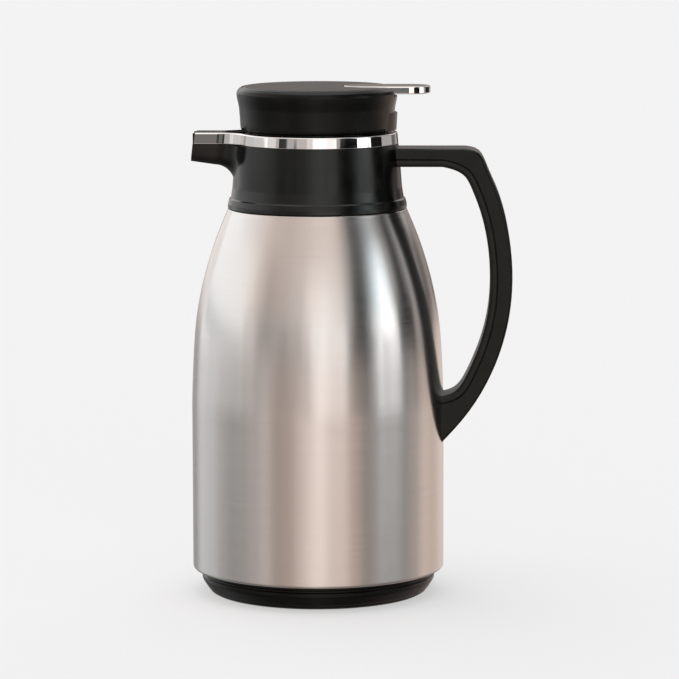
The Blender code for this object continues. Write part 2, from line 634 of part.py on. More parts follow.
def build_all():
    for item in list(bpy.data.objects):
        bpy.data.objects.remove(item)
    steel = material("brushed_steel", (0.62, 0.57, 0.53), 0.32, 1.0)
    bright = material("bright_steel", (0.7, 0.69, 0.67), 0.2, 1.0)
    chrome = material("chrome", (0.75, 0.75, 0.75), 0.05, 1.0)
    brass = material("brass", (0.72, 0.55, 0.26), 0.3, 1.0)
    black = material("black_plastic", (0.02, 0.02, 0.02), 0.4)
    cover = material("lid_plastic", (0.03, 0.03, 0.028), 0.35)
    soft_touch = material("soft_black", (0.025, 0.025, 0.025), 0.55)
    white = material("white_plastic", (0.8, 0.8, 0.78), 0.4)
    dark_rubber = material("dark_rubber", (0.05, 0.05, 0.05), 0.7)
    silicone = material("silicone", (0.72, 0.7, 0.66), 0.5)

    build_body(steel, bright, silicone)
    build_base(black, dark_rubber)
    build_collar(black, chrome)
    build_handle(black, soft_touch, bright)
    build_stopper(black, white, silicone, bright, brass)
    build_lid(black, cover, bright)
    build_lever(chrome, bright)


build_all()
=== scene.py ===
"""Looks of the vacuum carafe: fine surfaces, materials, floor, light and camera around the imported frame.

Shapes are worked out in millimetres, in the frame's axes (+Z up, handle +X, spout -X), and scaled
to metres as each mesh is made. Main sizes are read from the frame's own parts.
"""
import json
import math

import bmesh
import bpy
import numpy as np
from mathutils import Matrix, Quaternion, Vector


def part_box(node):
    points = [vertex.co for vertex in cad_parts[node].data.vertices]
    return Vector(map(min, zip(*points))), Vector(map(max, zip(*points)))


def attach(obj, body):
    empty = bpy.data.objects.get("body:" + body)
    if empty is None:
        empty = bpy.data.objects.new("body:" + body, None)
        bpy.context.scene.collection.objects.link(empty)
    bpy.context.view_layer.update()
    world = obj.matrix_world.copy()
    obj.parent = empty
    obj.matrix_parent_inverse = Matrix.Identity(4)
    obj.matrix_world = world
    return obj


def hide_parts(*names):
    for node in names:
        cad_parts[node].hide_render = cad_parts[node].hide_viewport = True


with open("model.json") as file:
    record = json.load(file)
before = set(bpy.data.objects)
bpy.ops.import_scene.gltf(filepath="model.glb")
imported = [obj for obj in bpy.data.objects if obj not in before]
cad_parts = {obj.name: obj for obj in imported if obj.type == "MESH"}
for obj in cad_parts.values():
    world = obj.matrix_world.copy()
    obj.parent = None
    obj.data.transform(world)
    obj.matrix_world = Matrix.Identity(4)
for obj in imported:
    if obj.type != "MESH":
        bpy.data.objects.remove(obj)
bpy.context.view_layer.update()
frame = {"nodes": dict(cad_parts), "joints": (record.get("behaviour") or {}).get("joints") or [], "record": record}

MM = 0.001
AROUND = 192            # faces round a turned piece
FINE_AROUND = 256       # the same, for the large outside pieces
SMALL_AROUND = 96       # and for the small inside ones
WELD = 1e-5             # points nearer than this become one
CUT_SHARP_DEG = 35      # edges sharper than this stay sharp on a piece that was cut


def low(node):
    """Lowest x, y and z of a CAD node, in millimetres."""
    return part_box(node)[0] / MM


def high(node):
    """Highest x, y and z of a CAD node, in millimetres."""
    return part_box(node)[1] / MM


# Main sizes, from the frame
BODY_R = high("outer_shell").y
RIM_Z = low("outer_shell").z
COLLAR_TOP_Z = high("collar").z
BAND_BOTTOM_Z = low("chrome_band").z
BAND_TOP_Z = high("chrome_band").z
BAND_R = high("chrome_band").y
SPOUT_TIP_X = low("collar").x
HANDLE_HALF = high("handle_frame").y
ARM_TOP_Z = high("handle_frame").z
LID_TOP_Z = high("lid_top_cover").z
LEVER_HALF = high("lever").y
LEVER_END_X = high("lever").x
LEVER_TOP_Z = high("lever").z
PIVOT = Vector(next(j for j in frame["joints"] if j["name"] == "lever_press")["pos_m"]) / MM

# Sizes that the boxes of the parts don't give
STEEL = 0.8                 # sheet of the body and of the vessel inside it
VESSEL_GAP = 5.4            # from the body's outside to the vessel's outside
VESSEL_FLOOR_Z = 32.0
SEAM = 0.05                 # between two parts that meet

SPOUT_HALF = 9.0
SPOUT_CORNER = 5.0          # rounding of the trough's lower edges
SPOUT_TIP_BOTTOM_Z = 247.2
SPOUT_SLOPE = 2.0 / 16.3    # the tip leans back this much for each millimetre up
SPOUT_DRAFT = 0.16          # share by which the trough is narrower at its bottom
SPOUT_DROP = 2.0            # the trough's bottom falls this much from tip to collar
SPOUT_MIDDLE_Z = 257.0      # the trough's outside faces away from its middle at this height
SPOUT_STEPS = 14
SIDE_FLARE_R = 16.5         # fillet from the spout's side into the collar
LOW_FLARE_R = 9.5           # fillet from its underside into the collar
FLARE_STEPS = 20
FLARE_SINK = 0.3            # the flare's last ring lies this far inside the collar
FLARE_TAIL = 2.5            # and a tail goes this much further in
FLARE_TAIL_WIDTH = 0.97
CHANNEL_HALF = SPOUT_HALF - 2.7
CHANNEL_CORNER = 4.5
CHANNEL_TIP_Z = 249.9
CHANNEL_ROOT_X = -39.8
CHANNEL_ROOT_Z = 247.9
LIP_HALF = SPOUT_HALF - 1.2

BAND_THICK = 1.0
BAND_TAPER = 0.55           # its radius is this much smaller at its top
BAND_TIP_GAP = 0.7          # it starts this far behind the spout's tip
BAND_SUPPORT_X = -62.0      # a row of points that keeps the spout's side flat in the reflections

THREAD_STARTS = 4
THREAD_LEAD = 36.0
RIDGE_DEG = 48              # how far round each ridge goes
RIDGE_THICK = 2.2

ARM_START_X = 44.6
ARM_BOTTOM_Z = 244.4
LINER_THICK = 4.4
LINER_INSET = 0.35          # the liner is this much narrower than the frame on each side
GROOVE = 0.5                # between frame and liner
TONGUE = 1.0                # the liner's tongue behind the groove
TONGUE_INSET = 2.0

TAB_SPREAD = 26.0           # degrees each way from the handle
TAB_FADE = 24.0             # degrees over which it rises from the lid's side
TAB_OUT = 1.7
LEVER_START_X = 15.0
LEVER_THICK = 4.3
LEVER_PLAY = 0.6            # between the lever and the lid's slot


# Outlines

def arc(centre, radius, start_deg, end_deg, steps):
    """Points along a circle's arc, both ends included."""
    angles = [math.radians(start_deg + (end_deg - start_deg) * i / steps) for i in range(steps + 1)]
    return [(centre[0] + radius * math.cos(a), centre[1] + radius * math.sin(a)) for a in angles]


def rounded(corners, closed=True, steps=5):
    """Outline through corners (x, y, radius), each corner rounded to its radius."""
    out = []
    count = len(corners)
    for i, (x, y, *more) in enumerate(corners):
        radius = more[0] if more else 0.0
        here = Vector((x, y))
        if radius <= 0 or (not closed and i in (0, count - 1)):
            out.append((x, y))
            continue
        before = (Vector(corners[i - 1][:2]) - here).normalized()
        after = (Vector(corners[(i + 1) % count][:2]) - here).normalized()
        half = math.acos(max(-1.0, min(1.0, before.dot(after)))) / 2
        if half > math.radians(89):
            out += [(x, y)] * (steps + 1)
            continue
        reach = radius / math.tan(half)
        centre = here + (before + after).normalized() * (radius / math.sin(half))
        first = here + before * reach - centre
        last = here + after * reach - centre
        start = math.atan2(first.y, first.x)
        sweep = (math.atan2(last.y, last.x) - start + math.pi) % (2 * math.pi) - math.pi
        for k in range(steps + 1):
            a = start + sweep * k / steps
            out.append((centre.x + radius * math.cos(a), centre.y + radius * math.sin(a)))
    return out


def spline(points, count):
    """Smooth curve (natural cubic) through the points, evenly spaced along its length."""
    points = np.array(points, float)
    knots = np.concatenate([[0], np.cumsum(np.linalg.norm(np.diff(points, axis=0), axis=1))])
    steps = np.diff(knots)
    size = len(points)
    matrix = np.eye(size)
    right = np.zeros_like(points)
    for i in range(1, size - 1):
        matrix[i, i - 1:i + 2] = steps[i - 1], 2 * (steps[i - 1] + steps[i]), steps[i]
        right[i] = 6 * ((points[i + 1] - points[i]) / steps[i] - (points[i] - points[i - 1]) / steps[i - 1])
    bend = np.linalg.solve(matrix, right)

    def at(t):
        i = min(max(np.searchsorted(knots, t) - 1, 0), size - 2)
        a, b, h = knots[i + 1] - t, t - knots[i], steps[i]
        return ((bend[i] * a ** 3 + bend[i + 1] * b ** 3) / (6 * h)
                + (points[i] / h - bend[i] * h / 6) * a + (points[i + 1] / h - bend[i + 1] * h / 6) * b)

    dense = np.array([at(t) for t in np.linspace(0, knots[-1], 600)])
    run = np.concatenate([[0], np.cumsum(np.linalg.norm(np.diff(dense, axis=0), axis=1))])
    even = np.linspace(0, run[-1], count)
    return [(float(np.interp(s, run, dense[:, 0])), float(np.interp(s, run, dense[:, 1]))) for s in even]


def beside(path, distance):
    """The path moved sideways by distance, to the left of its direction of travel."""
    moved = []
    for i, point in enumerate(path):
        before = Vector(path[max(i - 1, 0)])
        after = Vector(path[min(i + 1, len(path) - 1)])
        along = (after - before).normalized()
        moved.append((point[0] - along.y * distance, point[1] + along.x * distance))
    return moved


# Meshes

def piece(name, mesh_data, look, body, slot, *nodes, sharp_deg=40, weighted=True):
    """Make an object from a bmesh in millimetres; it rides on a body and may stand for CAD nodes."""
    bmesh.ops.remove_doubles(mesh_data, verts=mesh_data.verts, dist=WELD)
    bmesh.ops.recalc_face_normals(mesh_data, faces=mesh_data.faces)
    bmesh.ops.scale(mesh_data, vec=(MM, MM, MM), verts=mesh_data.verts)
    mesh = bpy.data.meshes.new(name)
    mesh_data.to_mesh(mesh)
    mesh_data.free()
    mesh.shade_smooth()
    mesh.set_sharp_from_angle(angle=math.radians(sharp_deg))
    mesh.materials.append(look)
    made = bpy.data.objects.new(name, mesh)
    bpy.context.scene.collection.objects.link(made)
    if weighted:
        normals = made.modifiers.new("even shading", "WEIGHTED_NORMAL")
        normals.keep_sharp = True
    if body:
        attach(made, body)
    if nodes:
        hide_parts(*nodes)
    return made


def skin(mesh_data, rings, cap_start=False, cap_end=False):
    """Faces between a row of point rings, each with the same number of points."""
    rows = [[mesh_data.verts.new(p) for p in ring] for ring in rings]
    for first, second in zip(rows, rows[1:]):
        for i in range(len(first)):
            j = (i + 1) % len(first)
            mesh_data.faces.new((first[i], first[j], second[j], second[i]))
    if cap_start:
        mesh_data.faces.new(rows[0][::-1])
    if cap_end:
        mesh_data.faces.new(rows[-1])
    return mesh_data


def turn_into(mesh_data, profile, around=AROUND):
    """Turn a profile of (radius, height) about Z; one that starts and ends on the axis gets flat ends."""
    on_axis = profile[0][0] < 1e-6
    middle = profile[1:-1] if on_axis else profile
    rings = []
    for k in range(around):
        a = 2 * math.pi * k / around
        rings.append([(r * math.cos(a), r * math.sin(a), z) for r, z in middle])
    rows = [[mesh_data.verts.new(p) for p in ring] for ring in rings]
    for k in range(around):
        first, second = rows[k], rows[(k + 1) % around]
        for i in range(len(first) - 1 if on_axis else len(first)):
            j = (i + 1) % len(first)
            mesh_data.faces.new((first[i], first[j], second[j], second[i]))
    if on_axis:
        for end in (0, -1):
            mesh_data.faces.new([row[end] for row in rows])
    return mesh_data


def turned(name, profile, look, body, slot, *nodes, around=AROUND, **more):
    """A piece turned about Z, with the look given."""
    return piece(name, turn_into(bmesh.new(), profile, around), look, body, slot, *nodes, **more)


def guide(name, mesh_data):
    """A cutter: it shapes other pieces and isn't part of the object."""
    made = piece(name, mesh_data, LOOKS["black_plastic"], None, None, weighted=False)
    made.hide_render = True
    made.hide_viewport = True
    return made


def cut_with(target, cutter):
    """Cut once and for all, then remove the cutter."""
    step = target.modifiers.new("cut", "BOOLEAN")
    step.operation = "DIFFERENCE"
    step.object = cutter
    cutter.hide_viewport = False
    names = [m.name for m in target.modifiers]
    target.modifiers.move(names.index("cut"), 0)
    others = [(m, m.show_viewport) for m in target.modifiers if m.name != "cut"]
    for other, _ in others:
        other.show_viewport = False
    graph = bpy.context.evaluated_depsgraph_get()
    shaped = bpy.data.meshes.new_from_object(target.evaluated_get(graph), depsgraph=graph)
    for other, shown in others:
        other.show_viewport = shown
    target.modifiers.remove(step)
    target.data = shaped
    bpy.data.objects.remove(cutter)
    shaped.shade_smooth()
    shaped.set_sharp_from_angle(angle=math.radians(CUT_SHARP_DEG))
    return target


def prism_into(mesh_data, outline, bottom, top):
    """An upright solid with the outline (x, y), between two heights."""
    rings = [[(x, y, z) for x, y in outline] for z in (bottom, top)]
    return skin(mesh_data, rings, cap_start=True, cap_end=True)


def block_into(mesh_data, start, end):
    """A block between two opposite corners."""
    outline = [(start[0], start[1]), (end[0], start[1]), (end[0], end[1]), (start[0], end[1])]
    return prism_into(mesh_data, outline, start[2], end[2])


def rod_into(mesh_data, start, axis, stations, sides=48):
    """A stepped rod along X, Y or Z: stations are (distance from start, radius)."""
    rings = []
    for distance, radius in stations:
        ring = []
        for k in range(sides):
            a = 2 * math.pi * k / sides
            u, v = radius * math.cos(a), radius * math.sin(a)
            offset = {"X": (distance, u, v), "Y": (v, distance, u), "Z": (u, v, distance)}[axis]
            ring.append(Vector(start) + Vector(offset))
        rings.append(ring)
    return skin(mesh_data, rings, cap_start=True, cap_end=True)


# Materials

def new_look(name, **values):
    """A material whose shader is given its even values; keys are input names with _ for a space."""
    look = bpy.data.materials.new(name)
    look.use_nodes = True
    shader = look.node_tree.nodes["Principled BSDF"]
    for key, value in values.items():
        shader.inputs[key.replace("_", " ")].default_value = value
    return look


def add(look, kind, inputs=None, **settings):
    """Add a node. An input is given another node's output socket, or a value."""
    made = look.node_tree.nodes.new(kind)
    for key, value in settings.items():
        setattr(made, key, value)
    for key, value in (inputs or {}).items():
        if isinstance(value, bpy.types.NodeSocket):
            look.node_tree.links.new(value, made.inputs[key])
        else:
            made.inputs[key].default_value = value
    return made


def noise(look, scale, detail=3.0, stretch=(1, 1, 1), roughness=0.5):
    """Noise in the object's own space; scale is in cycles per metre."""
    place = add(look, "ShaderNodeTexCoord").outputs["Object"]
    spread = add(look, "ShaderNodeMapping", {"Vector": place, "Scale": stretch})
    inputs = {"Vector": spread.outputs[0], "Scale": scale, "Detail": detail, "Roughness": roughness}
    return add(look, "ShaderNodeTexNoise", inputs).outputs["Fac"]


def between(look, factor, low, high, start=0.3, end=0.7):
    """A number that goes from low to high as factor goes from start to end."""
    inputs = {"Value": factor, "From Min": start, "From Max": end, "To Min": low, "To Max": high}
    return add(look, "ShaderNodeMapRange", inputs).outputs["Result"]


def mixed(look, share, first, second):
    """A colour from first to second as share goes from 0 to 1; each is a node's output or a colour."""
    mix = add(look, "ShaderNodeMix", {0: share}, data_type="RGBA")
    for socket, value in zip([s for s in mix.inputs if s.type == "RGBA"], (first, second)):
        if isinstance(value, bpy.types.NodeSocket):
            look.node_tree.links.new(value, socket)
        else:
            socket.default_value = (*value, 1)
    return next(s for s in mix.outputs if s.type == "RGBA")


def edges(look, start=0.52, end=0.62):
    """1 on worn outside edges, 0 elsewhere."""
    point = add(look, "ShaderNodeNewGeometry").outputs["Pointiness"]
    return between(look, point, 0.0, 1.0, start, end)


def set_up(look, colour=None, roughness=None, *bumps):
    """Connect colour and roughness, and a chain of bumps given as (height, strength, distance)."""
    shader = look.node_tree.nodes["Principled BSDF"]
    link = look.node_tree.links.new
    if colour is not None:
        link(colour, shader.inputs["Base Color"])
    if roughness is not None:
        link(roughness, shader.inputs["Roughness"])
    normal = None
    for height, strength, distance in bumps:
        inputs = {"Height": height, "Strength": strength, "Distance": distance}
        if normal is not None:
            inputs["Normal"] = normal
        normal = add(look, "ShaderNodeBump", inputs).outputs["Normal"]
    if normal is not None:
        link(normal, shader.inputs["Normal"])
    return look


def plastic(name, dark, light, roughness, grain, grain_depth, shine):
    """Moulded plastic with a fine grain, cloudy sheen, and edges rubbed a little paler."""
    look = new_look(name, Specular_IOR_Level=shine, Specular_Tint=COOL_SHEEN)
    cloud = noise(look, 28, 4)
    body = mixed(look, between(look, cloud, 0, 1), dark, light)
    worn = mixed(look, edges(look), (0, 0, 0), tuple(2 * c + 0.003 for c in light))
    colour = add(look, "ShaderNodeVectorMath", {0: body, 1: worn}, operation="ADD").outputs[0]
    fine = noise(look, grain, 2)
    smear = between(look, noise(look, 90, 5), roughness - 0.05, roughness + 0.06)
    return set_up(look, colour, smear, (fine, 0.35, grain_depth), (cloud, 0.08, 0.0004))


def brushed_steel():
    """Steel brushed round the axis: long fine scratches, a warm tint that wanders, and a satin sheen."""
    look = new_look("brushed_steel", Metallic=1.0, Anisotropic=0.6, Anisotropic_Rotation=0.25)
    shader = look.node_tree.nodes["Principled BSDF"]
    along = add(look, "ShaderNodeTangent", direction_type="RADIAL", axis="Z").outputs[0]
    look.node_tree.links.new(along, shader.inputs["Tangent"])
    scratches = noise(look, 1, 4, stretch=(26, 26, 5200), roughness=0.7)
    bands = noise(look, 1, 3, stretch=(9, 9, 900), roughness=0.6)
    cloud = noise(look, 14, 3)
    warm = mixed(look, between(look, cloud, 0, 1), STEEL_COOL, STEEL_WARM)
    streaky = between(look, scratches, 0.97, 1.03)
    scale = add(look, "ShaderNodeVectorMath", {0: warm, "Scale": streaky}, operation="SCALE").outputs[0]
    rough = add(look, "ShaderNodeMath", {
        0: between(look, scratches, 0.19, 0.23), 1: between(look, bands, -0.02, 0.02),
    }, operation="ADD").outputs[0]
    return set_up(look, scale, rough, (scratches, 0.10, 0.00003), (bands, 0.04, 0.00006))


def plain_steel(name, colour, roughness, stretch):
    """Turned or drawn metal with fine lines across Z."""
    look = new_look(name, Metallic=1.0)
    lines = noise(look, 1, 3, stretch=stretch, roughness=0.6)
    tone = mixed(look, between(look, noise(look, 40, 3), 0, 1), colour, tuple(0.9 * c for c in colour))
    rough = between(look, lines, roughness - 0.05, roughness + 0.07)
    return set_up(look, tone, rough, (lines, 0.15, 0.00008))


def chrome():
    """Bright plating: mirror-like, with faint haze and the slight ripple of moulded plastic below it."""
    look = new_look("chrome", Metallic=1.0)
    haze = between(look, noise(look, 120, 6), 0.02, 0.05, 0.4, 0.75)
    tone = mixed(look, between(look, noise(look, 30, 3), 0, 1), (0.86, 0.86, 0.85), (0.80, 0.79, 0.78))
    return set_up(look, tone, haze, (noise(look, 60, 2), 0.05, 0.00008))


def soft_seal():
    """Pale, slightly see-through silicone."""
    look = new_look("silicone", Subsurface_Weight=0.25, Subsurface_Scale=0.002)
    cloud = noise(look, 50, 3)
    tone = mixed(look, between(look, cloud, 0, 1), (0.70, 0.68, 0.63), (0.60, 0.58, 0.54))
    return set_up(look, tone, between(look, noise(look, 200, 4), 0.42, 0.58), (cloud, 0.1, 0.0002))


def foot_rubber():
    """Dull black rubber with a pebbled face and a little dust."""
    look = new_look("foot_rubber", Specular_IOR_Level=0.35)
    fleck = noise(look, 1800, 2)
    dust = between(look, noise(look, 45, 5), 0, 1, 0.45, 0.75)
    tone = mixed(look, dust, (0.03, 0.03, 0.03), (0.075, 0.072, 0.068))
    return set_up(look, tone, between(look, fleck, 0.68, 0.85), (fleck, 0.5, 0.00015))


COOL_SHEEN = (0.93, 1.0, 0.96, 1.0)
STEEL_COOL = (0.685, 0.68, 0.672)
STEEL_WARM = (0.70, 0.68, 0.662)
# Darkest and lightest colour, roughness, grain (cycles a metre), depth of the grain (m), shine
PLASTICS = {
    "black_plastic": ((0.001, 0.001, 0.0009), (0.0016, 0.0016, 0.0014), 0.20, 2600, 0.00002, 0.42),
    "handle_plastic": ((0.001, 0.001, 0.0008), (0.0018, 0.0018, 0.0015), 0.26, 2600, 0.00002, 0.25),
    "base_plastic": ((0.001, 0.001, 0.0009), (0.0016, 0.0016, 0.0014), 0.24, 2600, 0.00002, 0.22),
    "lid_plastic": ((0.005, 0.0048, 0.004), (0.0076, 0.0074, 0.0062), 0.28, 2200, 0.00004, 0.26),
    "soft_black": ((0.003, 0.003, 0.0028), (0.006, 0.0058, 0.0054), 0.42, 1500, 0.00005, 0.35),
    "white_plastic": ((0.72, 0.72, 0.70), (0.78, 0.78, 0.76), 0.40, 2400, 0.00004, 0.5),
}
LOOKS = {
    "brushed_steel": brushed_steel(),
    "bright_steel": plain_steel("bright_steel", (0.72, 0.71, 0.69), 0.2, (60, 60, 1500)),
    "brass": plain_steel("brass", (0.78, 0.58, 0.28), 0.25, (80, 80, 2500)),
    "chrome": chrome(),
    "foot_rubber": foot_rubber(),
    "silicone": soft_seal(),
    **{name: plastic(name, *values) for name, values in PLASTICS.items()},
}
for part in frame["record"]["subparts"]:
    mesh = frame["nodes"][part["node"]].data
    mesh.materials.clear()
    mesh.materials.append(LOOKS[part["material_slot"]])


def turned_part(name, profile, slot, body, *nodes, around=AROUND, **more):
    """A turned piece with the look of its slot."""
    return turned(name, profile, LOOKS[slot], body, slot, *nodes, around=around, **more)


# Steel body and vessel

def shell_side():
    """The wall and rounded shoulder, from the base rim up to the collar."""
    through = [(BODY_R, 100.0), (BODY_R, 110.0), (71.35, 121.5), (71.0, 130.0), (70.1, 146.0), (68.9, 158.0),
               (66.3, 173.0), (61.9, 190.0), (56.2, 206.8), (51.0, 219.3)]
    return spline(through, 90)


def build_vessel():
    """The steel jacket, the vessel inside it and the gasket on its lip."""
    edge = arc((BODY_R - 1.5, RIM_Z + 1.5), 1.5, -90, 0, 8)
    wall = [(BODY_R, 16.4), (BODY_R, 40.0), (BODY_R, 70.0), (BODY_R, 98.0)]
    top = rounded([(51.0, 219.4), (50.6, 220.3, 0.5), (44.8, 220.3)], closed=False)
    outside = [(67.4, RIM_Z), *edge, *wall, *shell_side(), *top]
    turned_part("steel_body", outside + beside(outside, STEEL)[::-1], "brushed_steel", "jug", "outer_shell",
                around=FINE_AROUND)

    corner = arc((62.3, VESSEL_FLOOR_Z + 4.0), 4.0, -90, 0, 8)
    neck = [(45.6, 217.8), (42.4, 222.0, 4), (42.0, 228.0), (42.0, 237.9, 1.2), (44.5, 237.9)]
    side = beside(shell_side(), VESSEL_GAP)[:-3]
    path = [(0, VESSEL_FLOOR_Z), (30, VESSEL_FLOOR_Z), *corner, (BODY_R - VESSEL_GAP, 60), *side,
            *rounded(neck, closed=False)]
    inside = beside(path, STEEL)
    inside[0] = (0, VESSEL_FLOOR_Z + STEEL)
    turned_part("inner_vessel", path + inside[::-1], "bright_steel", "jug",
                "inner_floor", "inner_wall", "inner_taper", "inner_shoulder", "inner_neck", around=128)
    gasket = rounded([(41.6, 239.0, .5), (44.6, 239.0), (44.6, 240.6), (41.6, 240.6, .5)])
    turned_part("lip_gasket_ring", gasket, "silicone", "jug", "lip_gasket")


def build_base():
    """The moulded base with its bead, and the foot pad under it."""
    rising = rounded([
        (0.0, 5.2), (60.0, 5.2, 1), (63.3, 9.0, 1), (63.3, 20.0, .3), (66.3, 20.0, .3), (68.4, 17.0, .3),
        (68.4, 16.0, .3), (66.3, 15.5, .2), (66.5, 14.2, .3), (66.5, 12.6, .35), (65.8, 12.0, .25),
        (65.8, 11.2, .25), (66.5, 10.4, .45), (66.5, 8.6, 1.2), (65.9, 7.4, 1.2), (63.3, 3.4, 1.0),
        (62.6, 2.8, .3), (62.0, 1.7, .5), (60.2, .7, .6), (57.4, .3, .3), (55.4, .3, .1), (55.4, 2.8, .1),
        (0.0, 2.8),
    ], closed=False)
    turned("base_moulding", rising, LOOKS["base_plastic"], "jug", "black_plastic", "base_cap")
    pad = rounded([(0, 0), (50.0, 0, .2), (50.6, .5, .3), (51.8, .5, .3), (52.4, 0, .2), (54.4, 0, .3),
                   (55.0, .6, .3), (55.0, 2.5, .3), (0, 2.5)], closed=False)
    turned_part("foot_ring", pad, "foot_rubber", "jug", "foot_pad")


# Collar, spout and bright band

COLLAR_SIDE = [(50.8, 221.0), (50.7, 223.0), (49.9, 226.0), (49.0, 226.6), (48.6, 229.0), (48.1, 232.4),
               (47.8, 236.0), (47.3, 242.6), (46.6, 250.0), (46.0, 257.0)]


def collar_radius(z):
    """The collar's outside radius at a height."""
    return float(np.interp(z, [level for _, level in COLLAR_SIDE], [radius for radius, _ in COLLAR_SIDE]))


def tip_x(z):
    """The spout's end leans back as it rises."""
    return SPOUT_TIP_X + (z - SPOUT_TIP_BOTTOM_Z) * SPOUT_SLOPE


def trough(half, bottom, top, corner, steps=10):
    """Right to left round the outside of a U, as (y, z)."""
    right = [(half, top), (half, (top + bottom + corner) / 2)]
    right += arc((half - corner, bottom + corner), corner, 0, -90, steps)
    return right + [(-y, z) for y, z in right[::-1]]


def normals(points):
    """Directions (y, z) that point out of the trough's outline."""
    middle = Vector((0, SPOUT_MIDDLE_Z))
    out = []
    for i in range(len(points)):
        before, after = Vector(points[max(i - 1, 0)]), Vector(points[min(i + 1, len(points) - 1)])
        along = (after - before).normalized()
        out.append(Vector((-along.y, along.x)))
    return [-n if n.dot(Vector(p) - middle) < 0 else n for n, p in zip(out, points)]


def drafted(outline):
    """The same outline, narrower towards its bottom."""
    top, bottom = max(z for _, z in outline), min(z for _, z in outline)
    return [(y * (1 - SPOUT_DRAFT * (top - z) / (top - bottom)), z) for y, z in outline]


def flare_from(y, z, away):
    """The fillet from a point of the trough into the collar: radius, x of its centre, and sweep."""
    sideways = abs(away.x)
    radius = LOW_FLARE_R + (SIDE_FLARE_R - LOW_FLARE_R) * sideways
    across = abs(y) + radius * sideways
    centre = math.sqrt((collar_radius(z) + radius) ** 2 - across ** 2)
    return radius, -centre, math.pi / 2 - math.atan2(across, centre) * sideways


def spout_rings():
    """Rings from the tip back to the collar, where the outside flares into it."""
    top = BAND_BOTTOM_Z - SEAM
    root = drafted(trough(SPOUT_HALF, SPOUT_TIP_BOTTOM_Z - SPOUT_DROP, top, SPOUT_CORNER))
    outward = normals(root)
    flares = [flare_from(y, z, away) for (y, z), away in zip(root, outward)]
    rings = []
    for share in np.linspace(0, 1, SPOUT_STEPS):
        outline = drafted(trough(SPOUT_HALF, SPOUT_TIP_BOTTOM_Z - SPOUT_DROP * share, top, SPOUT_CORNER))
        rings.append([(tip_x(z) * (1 - share) + centre * share, y, z)
                      for (y, z), (_, centre, _) in zip(outline, flares)])
    for step in range(1, FLARE_STEPS + 1):
        ring = []
        for (y, z), away, (radius, centre, sweep) in zip(root, outward, flares):
            turn = sweep * step / FLARE_STEPS
            out_y, out_z = Vector((y, z)) + away * radius * (1 - math.cos(turn))
            x = centre + radius * math.sin(turn)
            if step == FLARE_STEPS:
                x = FLARE_SINK - math.sqrt(collar_radius(out_z) ** 2 - out_y ** 2)
            ring.append((x, out_y, out_z))
        rings.append(ring)
    rings.append([(x + FLARE_TAIL, y * FLARE_TAIL_WIDTH, z) for x, y, z in rings[-1]])
    return rings


def build_spout(look):
    """The trough: a flared outside, an inside channel and a thin end, made as one closed skin."""
    outside = spout_rings()
    low_z = BAND_BOTTOM_Z - SEAM
    rings = []
    for k, ring in enumerate(outside):
        share = k / (len(outside) - 1)
        floor = CHANNEL_TIP_Z * (1 - share) + CHANNEL_ROOT_Z * share
        channel = trough(CHANNEL_HALF, floor, COLLAR_TOP_Z, CHANNEL_CORNER)[::-1]
        left, right = [[(side * LIP_HALF, z) for z in (low_z, COLLAR_TOP_Z)] for side in (-1, 1)]
        inner = [*left, *channel, *right[::-1]]
        if k == 0:
            rings.append(ring + [(tip_x(z), y, z) for y, z in inner])
        else:
            x = tip_x(CHANNEL_TIP_Z) * (1 - share) + CHANNEL_ROOT_X * share
            rings.append(ring + [(x, y, z) for y, z in inner])
    spout = skin(bmesh.new(), rings, cap_start=True)
    return piece("spout", spout, look, "jug", "black_plastic", "collar", sharp_deg=50)


def thread_into(mesh_data, root_r, crest_r, middle_z):
    """Short ridges, one for each start, that rise along the thread's helix and fade at their ends."""
    for start in range(THREAD_STARTS):
        middle = math.radians(45 + 360 * start / THREAD_STARTS)
        rings = []
        for share in np.linspace(-1, 1, 25):
            turn = math.radians(RIDGE_DEG) * share / 2
            crest = root_r + (crest_r - root_r) * (1 - max(abs(share) * 6 - 5, 0))
            a = middle + turn
            z = middle_z + THREAD_LEAD * turn / (2 * math.pi)
            bottom, top = z - RIDGE_THICK / 2, z + RIDGE_THICK / 2
            corners = rounded([(root_r, bottom), (crest, bottom + .4, .25), (crest, top - .4, .25),
                               (root_r, top)], steps=3)
            rings.append([(r * math.cos(a), r * math.sin(a), h) for r, h in corners])
        skin(mesh_data, rings, cap_start=True, cap_end=True)
    return mesh_data


def build_collar():
    """The collar's ring with its pouring window and thread, the handle's tongue and the spout."""
    black = LOOKS["black_plastic"]
    side = rounded([
        (50.5, 220.7, .2), (50.8, 221.1, .2), (50.7, 223.0, .8), (49.9, 226.0, .6), (49.0, 226.6, .7),
        (48.6, 229.0, 4), (48.1, 232.4, 6), (47.8, 236.0, 8), (47.3, 242.6, 10), (46.6, 250.0, 20),
        (46.0, 257.1, .15), (44.2, 257.1), (44.2, 263.2, .3), (40.5, 263.2, .5), (40.5, 243.2),
        (37.4, 243.2, .4), (37.4, 240.9, .3), (45.0, 240.9), (45.0, 231.0), (46.8, 229.5), (46.8, 220.7),
    ])
    ring = turned("collar_ring", side, black, "jug", "black_plastic", "collar", around=FINE_AROUND)
    shape = trough(CHANNEL_HALF, CHANNEL_ROOT_Z, 270.0, CHANNEL_CORNER)
    rings = [[(x, y, z) for y, z in shape] for x in (-60, CHANNEL_ROOT_X + 0.9)]
    window = skin(bmesh.new(), rings, cap_start=True, cap_end=True)
    cut_with(ring, guide("spout_window_cutter", window))
    ridges = thread_into(bmesh.new(), 40.9, 39.0, 257.7)
    piece("collar_thread_ridges", ridges, black, "jug", "black_plastic", "collar")
    tongue = block_into(bmesh.new(), (45.5, -7, 250.9), (62.0, 7, 253.2))
    piece("handle_tongue", tongue, black, "jug", "black_plastic", "collar")
    build_spout(black)


